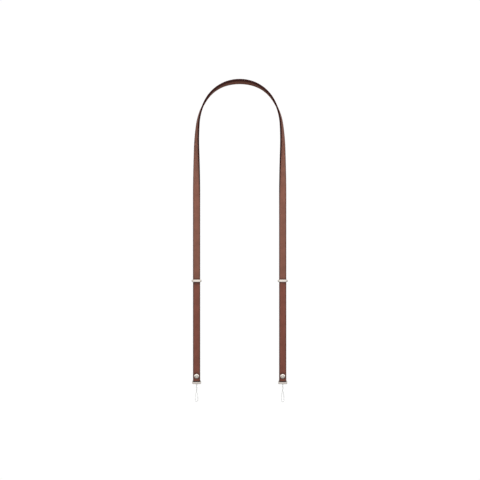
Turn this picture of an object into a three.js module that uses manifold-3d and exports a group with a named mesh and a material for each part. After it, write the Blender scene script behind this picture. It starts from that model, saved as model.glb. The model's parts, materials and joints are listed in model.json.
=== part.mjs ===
// Crossbody phone strap. Two leather straps lie on each other over the shoulder, and each one ends in a
// slider that the other runs on through. The two lower ends are folded round a metal loop and riveted, and
// each loop holds a thin cord. Millimetres, +Z up, front towards -Y. The origin is on the underside of the
// arch, where the strap hangs.
import * as THREE from "three";
import { mergeVertices } from "three/addons/utils/BufferGeometryUtils.js";
import Module from "manifold-3d";

// Leather straps
const STRAP_WIDTH = 12;
const LEATHER = 1.2; // thickness of one strap
const EDGE_BEVEL = 0.2;
const GAP = 0.3; // between pieces that touch
const SECTION_STEP = 5; // along the strap, where it bends or turns

// Half of the arch, from its top to the straight leg
const ARCH = [
  { stretch: "crown", radius: 75.6, turnDeg: 13.5 },
  { stretch: "shoulder", radius: 63, turnDeg: 44 },
  { stretch: "haunch", radius: 97.5, turnDeg: 26.5 },
  { stretch: "ease", radius: 400, turnDeg: 6 },
];

// Turn of the strap about its own length, from the top down. At 0 it is edge on to the front, and at 90 it
// shows its outer face.
const ROLL = [
  { along: 0, rollDeg: -30 },
  { along: 50, rollDeg: -10 },
  { along: 80, rollDeg: 2.5 },
  { along: 110, rollDeg: 17.5 },
  { along: 150, rollDeg: 36.5 },
  { along: 205, rollDeg: 64 },
  { along: 255, rollDeg: 90 },
];

// Heights, measured down from the middle of the two straps at the top of the arch
const SLIDER_DROP = 337.8;
const TAIL_DROP = 491.5; // upper end of the folded tail
const RIVET_DROP = 499.65;
const FOLD_DROP = 507.15; // axis of the bar in the leather fold
const FACE_MARGIN = 6; // bare leather between the flat face of a lower leg and the slider or the tail

// Slider: a flattened band round both straps
const SLIDER_WIDTH = 17;
const SLIDER_HEIGHT = 4.2;
const SLIDER_WALL = 1.4;
const SLIDER_CORNER = 1.6; // rounding of its ends, seen from the front
const SLIDER_BEVEL = 0.4;
const STRAP_END_COVER = 0.8; // how far the clamped strap stops short of the slider's lower rim

// Rivet: domed cap, shank and flat back
const CAP_RADIUS = 4.2;
const CAP_RISE = 1.7;
const CAP_RIM = 0.5;
const SHANK_RADIUS = 1.5;
const BACK_RADIUS = 3.6;
const BACK_THICKNESS = 0.9;
const BACK_EDGE = 0.5;

// End loop: a thin upper bar in the leather fold and a thick lower bar
const LOOP_WIDTH = 15.4;
const LOOP_BAR = 1.2; // thickness of the upper bar and of the arms
const LOOP_CORNER = 2.4;
const LOOP_BEVEL = 0.35;
const LOWER_BAR_HEIGHT = 3.5;
const LOWER_BAR_DEPTH = 2.6;
const LOWER_BAR_BEVEL = 0.6;
const SOCKET_DEPTH = 2.2; // of the hole that holds the cord's two ends

// Leather fold round the upper bar, and the tuck that brings the tail up to the back of the strap
const FOLD_RADIUS = LOOP_BAR / 2 + GAP + LEATHER / 2;
const TUCK_RISE = 4.2;

// Cord loop: two strands twisted together, then an open loop
const CORD_DIAMETER = 1;
const CORD_IN_SOCKET = 1.8;
const STRAND_OFFSET = 0.65; // of each strand from the middle of the twist
const TWIST_LENGTH = 13;
const TWIST_DEG = 360;
const TWIST_POINTS = 8;
const OPEN_LOOP = [
  { drop: 15.5, halfWidth: 1.15 },
  { drop: 18.5, halfWidth: 1.75 },
  { drop: 22, halfWidth: 2 },
  { drop: 25.5, halfWidth: 2.05 },
  { drop: 27.8, halfWidth: 2 },
  { drop: 29.2, halfWidth: 1.4 },
];
const LOOP_END_DROP = 29.8;
const CORD_STEPS = 40;
const CORD_SIDES = 8;

const CURVE_SEGMENTS = 5; // of each rounded corner of the metal pieces

const { degToRad, radToDeg } = THREE.MathUtils;
const wasm = await Module();
wasm.setup();

// A closed geometry as a solid that can be joined and cut.
function solidOf(geometry) {
  const bare = geometry.clone();
  bare.deleteAttribute("normal");
  bare.deleteAttribute("uv");
  const merged = mergeVertices(bare);
  const vertProperties = merged.attributes.position.array;
  const triVerts = new Uint32Array(merged.index.array);
  return new wasm.Manifold(new wasm.Mesh({ numProp: 3, vertProperties, triVerts }));
}

// The same for a plate or prism drawn in the XY plane, stood up to face the front.
function upright(geometry) {
  return solidOf(geometry.rotateX(Math.PI / 2));
}

function geometryOf(solid) {
  const { vertProperties, triVerts } = solid.getMesh();
  const geometry = new THREE.BufferGeometry();
  geometry.setAttribute("position", new THREE.BufferAttribute(vertProperties, 3));
  geometry.setIndex(new THREE.BufferAttribute(triVerts, 1));
  geometry.computeVertexNormals();
  return geometry;
}

// Follows arcs and straight runs in a plane with u to the right and v up. A heading of 0 points along u,
// 90 degrees points down, and a positive turn is clockwise.
function follow(start, runs) {
  const stops = [start];
  for (const run of runs) {
    const from = stops.at(-1);
    const turn = degToRad(run.turnDeg ?? 0);
    const length = run.length ?? run.radius * Math.abs(turn);
    const steps = run.steps ?? Math.ceil(length / SECTION_STEP);
    for (let k = 1; k <= steps; k++) {
      const done = (length * k) / steps;
      const heading = from.heading + (turn * k) / steps;
      const radius = length / turn;
      const across = turn ? radius * (Math.sin(heading) - Math.sin(from.heading)) : done * Math.cos(heading);
      const up = turn ? radius * (Math.cos(heading) - Math.cos(from.heading)) : -done * Math.sin(heading);
      stops.push({ along: from.along + done, heading, u: from.u + across, v: from.v + up });
    }
  }
  return stops;
}

// The strap's roll at a distance from the top, smooth through the rows of ROLL and level at both ends.
function rollAt(along) {
  const last = ROLL.length - 1;
  const slope = (i) =>
    i === 0 || i === last
      ? 0
      : (ROLL[i + 1].rollDeg - ROLL[i - 1].rollDeg) / (ROLL[i + 1].along - ROLL[i - 1].along);
  const i = ROLL.findLastIndex((row) => row.along <= along);
  if (i === last) return degToRad(ROLL[last].rollDeg);
  const span = ROLL[i + 1].along - ROLL[i].along;
  const t = (along - ROLL[i].along) / span;
  const ease = t * t * (3 - 2 * t);
  const rise = ROLL[i].rollDeg * (1 - ease) + ROLL[i + 1].rollDeg * ease;
  const bow = slope(i) * t * (1 - t) ** 2 - slope(i + 1) * t * t * (1 - t);
  return degToRad(rise + bow * span);
}

const ARCH_STOPS = follow({ along: 0, heading: 0, u: 0, v: 0 }, ARCH);
const ARCH_FOOT = ARCH_STOPS.at(-1);
const LEG_X = ARCH_FOOT.u;
const ROLL_END = ROLL.at(-1).along;
const ROLL_END_DROP = ROLL_END - ARCH_FOOT.along - ARCH_FOOT.v;
const LAYER_OFFSET = (LEATHER + GAP) / 2; // from the middle of the two straps to the middle of each

// Stops down the right leg from the foot of the arch: through the turn, then straight to the given heights.
function legStops(drops) {
  const turning = { length: ROLL_END - ARCH_FOOT.along };
  const straight = drops.map((drop, i) => {
    const from = drops[i - 1] ?? ROLL_END_DROP;
    return { length: drop - from, steps: 1 };
  });
  return follow(ARCH_FOOT, [turning, ...straight]);
}

// Sections of the right half of a strap at the stops. layer is 1 for the outer strap, which is in front on
// the legs, and -1 for the inner one.
function sectionsAt(stops, layer) {
  return stops.map(({ along, heading, u, v }) => {
    const roll = rollAt(along);
    const outward = new THREE.Vector3(Math.sin(heading), 0, Math.cos(heading));
    const front = new THREE.Vector3(0, -1, 0);
    const out = outward.clone().multiplyScalar(Math.cos(roll)).addScaledVector(front, Math.sin(roll));
    const across = front.clone().multiplyScalar(Math.cos(roll)).addScaledVector(outward, -Math.sin(roll));
    const middle = new THREE.Vector3(u, 0, v).addScaledVector(out, layer * LAYER_OFFSET);
    return { middle, out, across };
  });
}

// Sections of the right end of a strap: back round the bar, up to the strap's back, and on to the tail's end.
function foldSections(layer) {
  const tuckIn = 2 * FOLD_RADIUS - LEATHER - GAP;
  const tuckDeg = radToDeg(2 * Math.atan(tuckIn / TUCK_RISE));
  const tuckRadius = TUCK_RISE / 2 / Math.sin(degToRad(tuckDeg));
  const start = { along: 0, heading: Math.PI / 2, u: -layer * LAYER_OFFSET, v: -FOLD_DROP };
  const stops = follow(start, [
    { radius: FOLD_RADIUS, turnDeg: -180, steps: 8 },
    { radius: tuckRadius, turnDeg: -tuckDeg, steps: 4 },
    { radius: tuckRadius, turnDeg: tuckDeg, steps: 4 },
    { length: FOLD_DROP - TUCK_RISE - TAIL_DROP, steps: 1 },
  ]);
  return stops.slice(1).map(({ heading, u, v }) => ({
    middle: new THREE.Vector3(LEG_X, u, v),
    out: new THREE.Vector3(0, -Math.sin(heading), -Math.cos(heading)),
    across: new THREE.Vector3(-1, 0, 0),
  }));
}

// The same sections on the left side, in the order that keeps a strip's faces outward.
function mirrored(sections) {
  const flip = new THREE.Vector3(-1, 1, 1);
  const left = sections.map(({ middle, out, across }) => ({
    middle: middle.clone().multiply(flip),
    out: out.clone().multiply(flip),
    across: across.clone().multiply(flip),
  }));
  return left.reverse();
}

// A closed strip of leather through the sections, with bevelled edges.
function leatherStrip(sections) {
  const t = LEATHER / 2;
  const w = STRAP_WIDTH / 2;
  const outline = [
    { out: t, across: EDGE_BEVEL - w },
    { out: t, across: w - EDGE_BEVEL },
    { out: t - EDGE_BEVEL, across: w },
    { out: EDGE_BEVEL - t, across: w },
    { out: -t, across: w - EDGE_BEVEL },
    { out: -t, across: EDGE_BEVEL - w },
    { out: EDGE_BEVEL - t, across: -w },
    { out: t - EDGE_BEVEL, across: -w },
  ];
  const sides = outline.length;
  const points = sections.flatMap((section) =>
    outline.map((corner) =>
      section.middle
        .clone()
        .addScaledVector(section.out, corner.out)
        .addScaledVector(section.across, corner.across),
    ),
  );
  const faces = [];
  for (let s = 0; s + 1 < sections.length; s++) {
    for (let i = 0; i < sides; i++) {
      const a = s * sides + i;
      const b = s * sides + ((i + 1) % sides);
      // both broad faces are split along the same diagonal, so that the two straps nest where they turn
      if (i < sides / 2) faces.push(a, b, b + sides, a, b + sides, a + sides);
      else faces.push(a, b, a + sides, b, b + sides, a + sides);
    }
  }
  const lastRing = points.length - sides;
  for (let i = 1; i + 1 < sides; i++) {
    faces.push(0, i + 1, i);
    faces.push(lastRing, lastRing + i, lastRing + i + 1);
  }
  const strip = new THREE.BufferGeometry().setFromPoints(points).setIndex(faces);
  strip.computeVertexNormals();
  return strip;
}

// The arch of a strap, from foot to foot.
function archGeometry(layer) {
  const half = sectionsAt(ARCH_STOPS, layer);
  return leatherStrip([...mirrored(half), ...half.slice(1)]);
}

// The leg of a strap from the foot of the arch to where it stops in its slider.
function clampedLegGeometry(layer) {
  const end = SLIDER_DROP + SLIDER_HEIGHT / 2 - STRAP_END_COVER;
  const sections = sectionsAt(legStops([end]), layer);
  return leatherStrip(layer > 0 ? mirrored(sections) : sections);
}

// The leg of a strap from the foot of the arch into the slider that it runs through.
function carryingLegGeometry(layer) {
  const sections = sectionsAt(legStops([SLIDER_DROP]), layer);
  return leatherStrip(layer > 0 ? sections : mirrored(sections));
}

const LEG_END_DROP = TAIL_DROP - FACE_MARGIN;

// The same leg below that slider, as far as its folded end.
function lowerLegGeometry(layer) {
  const drops = [SLIDER_DROP, SLIDER_DROP + FACE_MARGIN, LEG_END_DROP];
  const sections = sectionsAt(legStops(drops).slice(-drops.length), layer);
  return leatherStrip(layer > 0 ? sections : mirrored(sections));
}

// The end of that strap, folded round the bar and drilled for the rivet.
function foldedEndGeometry(layer) {
  const drops = [LEG_END_DROP, FOLD_DROP];
  const straight = sectionsAt(legStops(drops).slice(-drops.length), layer);
  const sections = [...straight, ...foldSections(layer)];
  const strip = leatherStrip(layer > 0 ? sections : mirrored(sections));
  const drill = new THREE.CylinderGeometry(SHANK_RADIUS + GAP, SHANK_RADIUS + GAP, 4 * STRAP_WIDTH, 20);
  drill.translate(layer * LEG_X, 0, -RIVET_DROP);
  return geometryOf(solidOf(strip).subtract(solidOf(drill)));
}

// A rectangle with round corners, centred left to right, or a stadium where the radius is half its height.
function roundedRectangle(outline, width, bottom, top, radius) {
  const left = -width / 2;
  const right = width / 2;
  outline.moveTo(left + radius, bottom);
  outline.lineTo(right - radius, bottom);
  outline.absarc(right - radius, bottom + radius, radius, -Math.PI / 2, 0);
  outline.lineTo(right, top - radius);
  outline.absarc(right - radius, top - radius, radius, 0, Math.PI / 2);
  outline.lineTo(left + radius, top);
  outline.absarc(left + radius, top - radius, radius, Math.PI / 2, Math.PI);
  outline.lineTo(left, bottom + radius);
  outline.absarc(left + radius, bottom + radius, radius, Math.PI, 1.5 * Math.PI);
  return outline;
}

// A straight prism of the outline, centred on its plane.
function prism(shape, depth) {
  const options = { depth, bevelEnabled: false, curveSegments: CURVE_SEGMENTS };
  return new THREE.ExtrudeGeometry(shape, options).translate(0, 0, -depth / 2);
}

// A plate of the outline, bevelled on both faces and centred on the plane of the outline.
function plate(shape, thickness, bevel) {
  const geometry = new THREE.ExtrudeGeometry(shape, {
    depth: thickness - 2 * bevel,
    bevelThickness: bevel,
    bevelSize: bevel,
    bevelOffset: -bevel,
    bevelSegments: 1,
    curveSegments: CURVE_SEGMENTS,
  });
  return geometry.translate(0, 0, bevel - thickness / 2);
}

// The band, stood on end: its plan is a stadium ring, and seen from the front its corners are round.
function sliderGeometry() {
  const boreDepth = 2 * LEATHER + 3 * GAP;
  const depth = boreDepth + 2 * SLIDER_WALL;
  const boreWidth = SLIDER_WIDTH - 2 * SLIDER_WALL;
  const ring = roundedRectangle(new THREE.Shape(), SLIDER_WIDTH, -depth / 2, depth / 2, depth / 2);
  const bore = roundedRectangle(new THREE.Path(), boreWidth, -boreDepth / 2, boreDepth / 2, boreDepth / 2);
  ring.holes.push(bore);
  const front = new THREE.Shape();
  roundedRectangle(front, SLIDER_WIDTH, -SLIDER_HEIGHT / 2, SLIDER_HEIGHT / 2, SLIDER_CORNER);
  const band = solidOf(plate(ring, SLIDER_HEIGHT, SLIDER_BEVEL));
  return geometryOf(band.intersect(upright(prism(front, 2 * depth))));
}

// The rivet about its own axis, Y, with the front face of the strap at 0 and the cap towards -Y.
function rivetGeometry() {
  const domeRadius = (CAP_RADIUS ** 2 + CAP_RISE ** 2) / (2 * CAP_RISE);
  const domeAngle = Math.asin(CAP_RADIUS / domeRadius);
  const domeRings = 6;
  const profile = [];
  for (let k = 0; k <= domeRings; k++) {
    const angle = (domeAngle * k) / domeRings;
    const fall = domeRadius * (1 - Math.cos(angle));
    profile.push(new THREE.Vector2(domeRadius * Math.sin(angle), fall - CAP_RISE - CAP_RIM - GAP));
  }
  const backFace = 2 * LEATHER + 2 * GAP;
  profile.push(
    new THREE.Vector2(CAP_RADIUS, -GAP),
    new THREE.Vector2(SHANK_RADIUS, -GAP),
    new THREE.Vector2(SHANK_RADIUS, backFace),
    new THREE.Vector2(BACK_RADIUS, backFace),
    new THREE.Vector2(BACK_RADIUS, backFace + BACK_THICKNESS - BACK_EDGE),
    new THREE.Vector2(BACK_RADIUS - BACK_EDGE, backFace + BACK_THICKNESS),
    new THREE.Vector2(0, backFace + BACK_THICKNESS),
  );
  return new THREE.LatheGeometry(profile, 24);
}

const SLOT_TOP = -LOOP_BAR / 2; // of the end loop, measured from the axis of its upper bar
const LOWER_BAR_TOP = SLOT_TOP - LEATHER - 2 * GAP;
const LOOP_BOTTOM = LOWER_BAR_TOP - LOWER_BAR_HEIGHT;

// The end loop about the axis of its upper bar: a flat bail, a deeper lower bar, and the cord's socket below.
function endLoopGeometry() {
  const bail = roundedRectangle(new THREE.Shape(), LOOP_WIDTH, LOOP_BOTTOM, LOOP_BAR / 2, LOOP_CORNER);
  const slotWidth = STRAP_WIDTH + 2 * GAP;
  bail.holes.push(roundedRectangle(new THREE.Path(), slotWidth, LOWER_BAR_TOP, SLOT_TOP, LOOP_BEVEL));
  const bar = new THREE.Shape();
  roundedRectangle(bar, LOOP_WIDTH, LOOP_BOTTOM, LOWER_BAR_TOP, LOWER_BAR_HEIGHT / 2);
  const socketRadius = CORD_DIAMETER / 2 + GAP;
  const mouth = new THREE.Shape();
  roundedRectangle(mouth, 2 * (STRAND_OFFSET + socketRadius), -socketRadius, socketRadius, socketRadius);
  const socket = prism(mouth, 2 * SOCKET_DEPTH).translate(0, 0, LOOP_BOTTOM);
  const body = upright(plate(bail, LOOP_BAR, LOOP_BEVEL));
  const lowerBar = upright(plate(bar, LOWER_BAR_DEPTH, LOWER_BAR_BEVEL));
  return geometryOf(body.add(lowerBar).subtract(solidOf(socket)));
}

// The cord's route from the socket down the twist, round the open loop and back up the other strand.
function cordRoute() {
  const strand = [{ drop: -CORD_IN_SOCKET, halfWidth: STRAND_OFFSET, turn: 0 }];
  for (let k = 0; k <= TWIST_POINTS; k++) {
    const share = k / TWIST_POINTS;
    strand.push({ drop: TWIST_LENGTH * share, halfWidth: STRAND_OFFSET, turn: degToRad(TWIST_DEG) * share });
  }
  strand.push(...OPEN_LOOP.map((row) => ({ ...row, turn: degToRad(TWIST_DEG) })));
  const along = (sign) =>
    strand.map(
      ({ drop, halfWidth, turn }) =>
        new THREE.Vector3(sign * halfWidth * Math.cos(turn), sign * halfWidth * Math.sin(turn), -drop),
    );
  return [...along(-1), new THREE.Vector3(0, 0, -LOOP_END_DROP), ...along(1).reverse()];
}

function cordGeometry() {
  const section = new THREE.Shape();
  section.absarc(0, 0, CORD_DIAMETER / 2, 0, 2 * Math.PI);
  const outline = new THREE.Shape(section.getPoints(CORD_SIDES).slice(0, CORD_SIDES));
  const extrudePath = new THREE.CatmullRomCurve3(cordRoute());
  return new THREE.ExtrudeGeometry(outline, { steps: CORD_STEPS, bevelEnabled: false, extrudePath });
}

const LEATHER_FINISH = { color: 0x84604f, roughness: 0.6, metalness: 0 };
const NICKEL_FINISH = { color: 0xd6d3d0, roughness: 0.2, metalness: 1 };
const CORD_FINISH = { color: 0xebe9e6, roughness: 0.85, metalness: 0 };

function piece(name, geometry, finish) {
  const mesh = new THREE.Mesh(geometry, new THREE.MeshStandardMaterial(finish));
  mesh.name = name;
  return mesh;
}

// Each strap is one length of leather, kept in pieces that meet face to face: the arch, its two legs down to
// the sliders, and on one side a lower leg and its folded end. On the left the inner strap runs on below the
// slider, and on the right the outer one does.
const strap = new THREE.Group();
strap.add(
  piece("outer_strap_arch", archGeometry(1), LEATHER_FINISH),
  piece("outer_strap_left_leg", clampedLegGeometry(1), LEATHER_FINISH),
  piece("outer_strap_right_leg", carryingLegGeometry(1), LEATHER_FINISH),
  piece("outer_strap_right_lower_leg", lowerLegGeometry(1), LEATHER_FINISH),
  piece("outer_strap_right_end", foldedEndGeometry(1), LEATHER_FINISH),
  piece("inner_strap_arch", archGeometry(-1), LEATHER_FINISH),
  piece("inner_strap_left_leg", carryingLegGeometry(-1), LEATHER_FINISH),
  piece("inner_strap_left_lower_leg", lowerLegGeometry(-1), LEATHER_FINISH),
  piece("inner_strap_left_end", foldedEndGeometry(-1), LEATHER_FINISH),
  piece("inner_strap_right_leg", clampedLegGeometry(-1), LEATHER_FINISH),
);

const LEGS = [
  { side: "left", x: -LEG_X, strapY: LAYER_OFFSET },
  { side: "right", x: LEG_X, strapY: -LAYER_OFFSET },
];
for (const { side, x, strapY } of LEGS) {
  const slider = piece(`${side}_slider`, sliderGeometry(), NICKEL_FINISH);
  slider.position.set(x, 0, -SLIDER_DROP);

  const rivet = piece(`${side}_rivet`, rivetGeometry(), NICKEL_FINISH);
  rivet.position.set(x, strapY - LEATHER / 2, -RIVET_DROP);

  const end = new THREE.Group();
  end.position.set(x, strapY + FOLD_RADIUS, -FOLD_DROP);
  const cord = piece(`${side}_cord_loop`, cordGeometry(), CORD_FINISH);
  cord.position.z = LOOP_BOTTOM;
  end.add(piece(`${side}_end_loop`, endLoopGeometry(), NICKEL_FINISH), cord);

  strap.add(slider, rivet, end);
}

// The underside of the inner strap at the top of the arch becomes the origin.
const [crown] = sectionsAt(ARCH_STOPS, -1);
strap.position.copy(crown.middle).addScaledVector(crown.out, -LEATHER / 2).negate();

const phoneStrap = new THREE.Group();
phoneStrap.add(strap);

export default phoneStrap;
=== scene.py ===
import json
import math

import bmesh
import bpy
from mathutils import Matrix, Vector


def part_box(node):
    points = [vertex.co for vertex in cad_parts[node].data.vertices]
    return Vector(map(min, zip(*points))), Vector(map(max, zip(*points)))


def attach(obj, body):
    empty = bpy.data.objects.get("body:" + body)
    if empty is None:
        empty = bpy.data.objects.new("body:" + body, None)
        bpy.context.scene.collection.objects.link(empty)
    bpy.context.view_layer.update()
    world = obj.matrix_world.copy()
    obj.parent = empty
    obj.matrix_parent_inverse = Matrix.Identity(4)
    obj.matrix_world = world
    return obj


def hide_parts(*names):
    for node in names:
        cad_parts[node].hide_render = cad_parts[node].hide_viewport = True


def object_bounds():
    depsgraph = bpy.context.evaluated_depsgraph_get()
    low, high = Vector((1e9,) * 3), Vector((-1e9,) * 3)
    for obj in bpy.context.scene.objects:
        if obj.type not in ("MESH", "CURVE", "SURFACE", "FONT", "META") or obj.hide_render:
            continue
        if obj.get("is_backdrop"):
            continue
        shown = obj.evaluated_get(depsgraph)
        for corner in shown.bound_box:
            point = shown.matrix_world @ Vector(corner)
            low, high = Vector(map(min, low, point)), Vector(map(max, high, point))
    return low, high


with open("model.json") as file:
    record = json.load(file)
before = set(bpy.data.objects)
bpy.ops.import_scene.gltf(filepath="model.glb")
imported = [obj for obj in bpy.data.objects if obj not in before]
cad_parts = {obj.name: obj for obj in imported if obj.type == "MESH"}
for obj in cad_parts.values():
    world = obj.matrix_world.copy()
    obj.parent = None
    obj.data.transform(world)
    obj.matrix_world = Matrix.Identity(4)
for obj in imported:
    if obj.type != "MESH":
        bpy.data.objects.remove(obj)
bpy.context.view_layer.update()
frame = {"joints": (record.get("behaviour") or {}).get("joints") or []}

# Leather straps.
# Two lengths of smooth brown leather, cut 12 mm wide from a 1.2 mm hide and painted dark along their edges.
# They lie on each other over the shoulder. Each stops in a slider at one end, and at the other it runs on
# below, and is folded back round a metal loop.
MM = 0.001
STRAP_WIDTH = 12.2 * MM  # with the paint, which stands 0.1 mm proud of each edge
HIDE = 1.2 * MM
LEATHER = 1.46 * MM  # the hide with its finish, so that the two straps lie on each other
LAYER_OFFSET = 0.75 * MM  # from the middle of the two straps to the middle of each
EDGE_RADIUS = 0.5 * MM
EDGE_FACETS = 3
FACE_CUTS = 5
# radius in mm and turn in degrees of each arc, from the top down
ARCH = [(75.6, 13.5), (63, 44), (97.5, 26.5), (400, 6)]
# mm along the strap from the top, and its turn there about its own length in degrees
ROLL = [(0, -30), (50, -10), (80, 2.5), (110, 17.5), (150, 36.5), (205, 64), (255, 90)]
CLAMPED_DROP = 339.1 * MM  # where the strap that stops in the slider ends
FOLD_DROP = 507.15 * MM  # axis of the bar in the fold
FOLD_RADIUS = 1.5 * MM
TUCK_RISE = 4.2 * MM  # over which the tail comes in to lie on the strap
TAIL_DROP = 491.5 * MM  # upper end of the folded tail
FINE_STEP = 2.5 * MM
LEG_STEP = 8 * MM
TURN_STEP = math.radians(12)


def follow(start, runs, step):
    """Stops (along, heading, across, up) through runs of (length, turn).

    A heading of 0 is level, and one of 90 degrees is down.
    """
    stops = [start]
    for length, turn in runs:
        along, heading, across, up = stops[-1]
        count = max(math.ceil(length / step), math.ceil(abs(turn) / TURN_STEP))
        for k in range(1, count + 1):
            done = length * k / count
            now = heading + turn * k / count
            if turn:
                radius = length / turn
                over = radius * (math.sin(now) - math.sin(heading))
                rise = radius * (math.cos(now) - math.cos(heading))
            else:
                over = done * math.cos(now)
                rise = -done * math.sin(now)
            stops.append((along + done, now, across + over, up + rise))
    return stops


def roll_at(along):
    """The strap's turn about its own length, smooth through ROLL and level at both ends."""
    stops = [(mm * MM, math.radians(deg)) for mm, deg in ROLL]
    last = len(stops) - 1
    if along >= stops[last][0]:
        return stops[last][1]
    slopes = [0] * len(stops)
    for i in range(1, last):
        slopes[i] = (stops[i + 1][1] - stops[i - 1][1]) / (stops[i + 1][0] - stops[i - 1][0])
    i = max(k for k in range(last) if stops[k][0] <= along)
    span = stops[i + 1][0] - stops[i][0]
    t = (along - stops[i][0]) / span
    ease = t * t * (3 - 2 * t)
    bow = slopes[i] * t * (1 - t) ** 2 - slopes[i + 1] * t * t * (1 - t)
    return stops[i][1] * (1 - ease) + stops[i + 1][1] * ease + bow * span


arch_runs = [(mm * MM * math.radians(deg), math.radians(deg)) for mm, deg in ARCH]
foot = follow((0, 0, 0, 0), arch_runs, FINE_STEP)[-1]
LEG_X = foot[2]
# moves the straps so that the underside of the inner hide is at the origin, at the top of the arch
top_roll = roll_at(0)
hang = Vector((0, -math.sin(top_roll), math.cos(top_roll))) * (LAYER_OFFSET + HIDE / 2)


def half_strap(layer, carrying):
    """(point, outward face direction) down the right half of a strap, to its fold where it is carrying.

    layer is 1 for the outer strap and -1 for the inner one.
    """
    turning = (ROLL[-1][0] * MM - foot[0], 0)
    stops = follow((0, 0, 0, 0), [*arch_runs, turning], FINE_STEP)
    bottom = FOLD_DROP if carrying else CLAMPED_DROP
    stops += follow(stops[-1], [(bottom + stops[-1][3], 0)], LEG_STEP)[1:]
    sections = []
    for along, heading, across, up in stops:
        roll = roll_at(along)
        away = Vector((math.sin(heading), 0, math.cos(heading)))
        out = away * math.cos(roll) + Vector((0, -math.sin(roll), 0))
        sections.append((Vector((across, 0, up)) + out * layer * LAYER_OFFSET, out))
    if carrying:
        tuck_in = 2 * FOLD_RADIUS - 2 * LAYER_OFFSET
        tuck = 2 * math.atan(tuck_in / TUCK_RISE)
        tuck_length = TUCK_RISE / 2 / math.sin(tuck) * tuck
        tail = FOLD_DROP - TUCK_RISE - TAIL_DROP
        runs = [(FOLD_RADIUS * math.pi, -math.pi), (tuck_length, -tuck), (tuck_length, tuck), (tail, 0)]
        start = (0, math.pi / 2, -layer * LAYER_OFFSET, -FOLD_DROP)
        for along, heading, back, up in follow(start, runs, FINE_STEP)[1:]:
            out = Vector((0, -math.sin(heading), -math.cos(heading)))
            sections.append((Vector((LEG_X, back, up)), out))
    return [(point + hang, out) for point, out in sections]


def add_node(tree, kind, settings={}, inputs={}):
    """Adds a node to a tree, sets its properties, and gives its inputs values or links."""
    node = tree.nodes.new(kind)
    for name, value in settings.items():
        setattr(node, name, value)
    for name, value in inputs.items():
        if isinstance(value, bpy.types.NodeSocket):
            tree.links.new(value, node.inputs[name])
        else:
            node.inputs[name].default_value = value
    return node


def sized_tree(name, sizes):
    """A geometry tree with a named input for each size, its input node, and the inputs' identifiers."""
    tree = bpy.data.node_groups.new(name, "GeometryNodeTree")
    tree.interface.new_socket("Geometry", in_out="OUTPUT", socket_type="NodeSocketGeometry")
    tree.interface.new_socket("Geometry", in_out="INPUT", socket_type="NodeSocketGeometry")
    keys = {}
    for size, kind in sizes.items():
        keys[size] = tree.interface.new_socket(size, in_out="INPUT", socket_type=kind).identifier
    return tree, tree.nodes.new("NodeGroupInput"), keys


def close_tree(tree, geometry, *coats):
    """Ends a tree: its instances made real, smooth faces, and coats of (material, faces that it covers)."""
    real = add_node(tree, "GeometryNodeRealizeInstances", inputs={"Geometry": geometry})
    done = add_node(tree, "GeometryNodeSetShadeSmooth", inputs={"Geometry": real.outputs[0]})
    for material, where in coats:
        inputs = {"Geometry": done.outputs[0], "Selection": where, "Material": material}
        done = add_node(tree, "GeometryNodeSetMaterial", inputs=inputs)
    add_node(tree, "NodeGroupOutput", inputs={"Geometry": done.outputs[0]})


def made_by(tree, keys, values, name, mesh):
    """A plain mesh object made by a tree from a mesh, with the tree's sizes set."""
    piece = bpy.data.objects.new(name, mesh)
    bpy.context.scene.collection.objects.link(piece)
    nodes = piece.modifiers.new("nodes", "NODES")
    nodes.node_group = tree
    for size, value in values.items():
        nodes[keys[size]] = value
    depsgraph = bpy.context.evaluated_depsgraph_get()
    result = bpy.data.meshes.new_from_object(
        piece.evaluated_get(depsgraph), preserve_all_data_layers=True, depsgraph=depsgraph
    )
    piece.modifiers.clear()
    piece.data = result
    result.name = name
    return piece


def node_middle(node):
    """The middle of a CAD node's box."""
    low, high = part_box(node)
    return (low + high) / 2


def linear(code):
    """An sRGB hex colour as linear red, green, blue and alpha."""
    channels = [int(code[i : i + 2], 16) / 255 for i in (1, 3, 5)]
    return (*[c / 12.92 if c <= 0.04045 else ((c + 0.055) / 1.055) ** 2.4 for c in channels], 1)


# Pigmented cowhide: a satin brown face with a fine pebbled grain and slight clouding, a drier nap on the
# flesh side, and borders that darken towards the painted edges.
CLOUD_SIZE = 14 * MM
GRAIN_SIZE = 0.6 * MM  # rather coarser than the real one, so that it shows close up
GRAIN_DRIFT = 0.7 * MM  # by which the grain wanders, in waves of DRIFT_SIZE
DRIFT_SIZE = 1.1 * MM
PORE_SIZE = 0.25 * MM
FIBRE_SIZE = 0.35 * MM
RELIEF = 0.12 * MM
# where each mark begins and where it is full: by height, from the rivet, through the leather or across it
DARKER_BELOW = (-335.5 * MM, -338.5 * MM)
SLIDER_SHADE_TOP = (-331.2 * MM, -332.6 * MM)
SLIDER_SHADE_FOOT = (-336 * MM, -335 * MM)
RIVET_SHADE = (6.6 * MM, 4.8 * MM)
RIVET_SHADE_RISE = 0.8 * MM  # of the painted shade ring's middle over the rivet's
FOLD_SHADE = (-506.2 * MM, -507.3 * MM)
FLESH = (-0.3 * MM, -0.5 * MM)
FRONT_EDGE_SHADE = (0.2 * MM, 4.5 * MM)
BORDER = (3 * MM, 6.6 * MM)
BORDER_WAVER = 0.4 * MM
WAVER_SIZE = 2.5 * MM

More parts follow.
